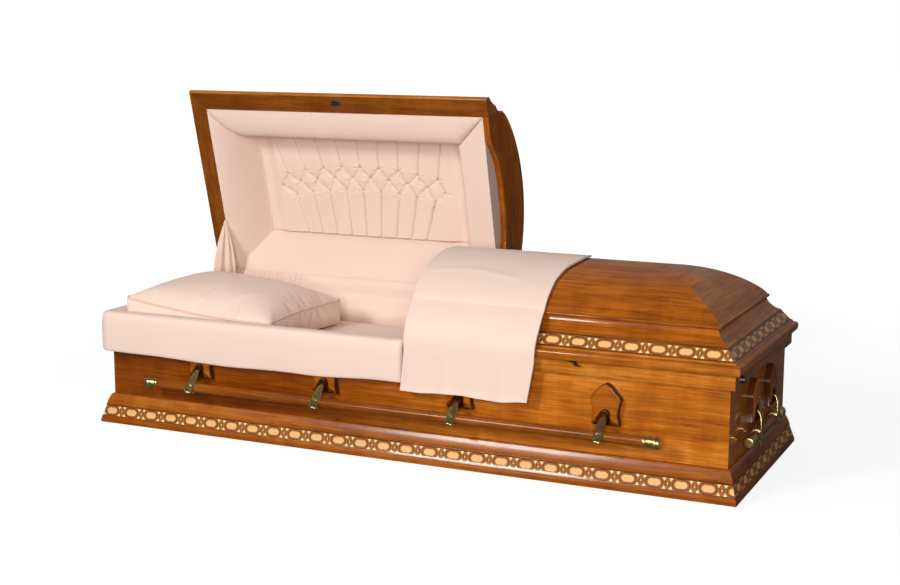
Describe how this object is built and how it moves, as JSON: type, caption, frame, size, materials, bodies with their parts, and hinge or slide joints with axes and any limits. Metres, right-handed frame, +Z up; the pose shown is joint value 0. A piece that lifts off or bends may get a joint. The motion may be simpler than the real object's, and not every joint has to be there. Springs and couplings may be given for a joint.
{
  "type": "wooden casket",
  "caption": "Half-couch wooden casket with hinged domed lids, moulded base, inlaid bands, swing-bar handles and a padded cloth interior, head lid open.",
  "frame": {"origin": "middle of the footprint, on the floor under the bottom board", "axes": "+X towards the foot end, -Y to the front where the apron hangs, +Y to the hinge side, +Z up"},
  "size_m": [2.149, 0.9449, 1.0674],
  "materials": {
    "body_wood": "satin lacquer",
    "header_wood": "satin lacquer",
    "handle_wood": "satin lacquer",
    "cloth": "matt crepe",
    "handle_brass": "antique polish",
    "dark_metal": "bronzed"
  },
  "bodies": {
    "shell": {"base_moulding": "body_wood", "side_panel_front": "body_wood", "side_panel_back": "body_wood", "end_panel_head": "body_wood", "end_panel_foot": "body_wood", "bottom_board": "header_wood", "top_rail": "body_wood", "lining_tray": "cloth", "mattress": "cloth", "pillow": "cloth", "apron": "cloth", "head_lid_hinge": "handle_brass", "foot_lid_hinge": "handle_brass", "crank_fitting": "dark_metal", "front_plate_1": "handle_wood", "front_plate_2": "handle_wood", "front_plate_3": "handle_wood", "front_plate_4": "handle_wood", "back_plate_1": "handle_wood", "back_plate_2": "handle_wood", "back_plate_3": "handle_wood", "back_plate_4": "handle_wood", "head_plate_1": "handle_wood", "head_plate_2": "handle_wood", "foot_plate_1": "handle_wood", "foot_plate_2": "handle_wood"},
    "head_lid": {"head_lid_rim": "body_wood", "head_lid_crown": "body_wood", "head_lid_header": "header_wood", "head_lid_lining": "cloth", "lock_plate": "dark_metal"},
    "foot_lid": {"foot_lid_rim": "body_wood", "foot_lid_crown": "body_wood", "foot_lid_header": "header_wood", "foot_lid_lining": "cloth", "throw": "cloth"},
    "front_handle": {"front_bar": "handle_wood", "front_cap_1": "handle_brass", "front_cap_2": "handle_brass", "front_arm_1": "handle_brass", "front_arm_2": "handle_brass", "front_arm_3": "handle_brass", "front_arm_4": "handle_brass"},
    "back_handle": {"back_bar": "handle_wood", "back_cap_1": "handle_brass", "back_cap_2": "handle_brass", "back_arm_1": "handle_brass", "back_arm_2": "handle_brass", "back_arm_3": "handle_brass", "back_arm_4": "handle_brass"},
    "head_handle": {"head_bar": "handle_wood", "head_cap_1": "handle_brass", "head_cap_2": "handle_brass", "head_arm_1": "handle_brass", "head_arm_2": "handle_brass"},
    "foot_handle": {"foot_bar": "handle_wood", "foot_cap_1": "handle_brass", "foot_cap_2": "handle_brass", "foot_arm_1": "handle_brass", "foot_arm_2": "handle_brass"}
  },
  "joints": [
    {"name": "head_lid_hinge", "type": "hinge", "parent": "shell", "child": "head_lid", "pos_m": [-0.49, 0.3582, 0.3593], "axis": [-1, 0, 0], "range_deg": [-74, 0]},
    {"name": "foot_lid_hinge", "type": "hinge", "parent": "shell", "child": "foot_lid", "pos_m": [0.57, 0.3582, 0.3593], "axis": [-1, 0, 0], "range_deg": [0, 75.3]},
    {"name": "front_handle_swing", "type": "hinge", "parent": "shell", "child": "front_handle", "pos_m": [0, -0.3505, 0.2], "axis": [-1, 0, 0], "range_deg": [-45, 35]},
    {"name": "back_handle_swing", "type": "hinge", "parent": "shell", "child": "back_handle", "pos_m": [0, 0.3505, 0.2], "axis": [1, 0, 0], "range_deg": [-45, 35]},
    {"name": "head_handle_swing", "type": "hinge", "parent": "shell", "child": "head_handle", "pos_m": [-1.0435, 0, 0.2], "axis": [0, 1, 0], "range_deg": [0, 80]},
    {"name": "foot_handle_swing", "type": "hinge", "parent": "shell", "child": "foot_handle", "pos_m": [1.0435, 0, 0.2], "axis": [0, -1, 0], "range_deg": [0, 80]}
  ]
}
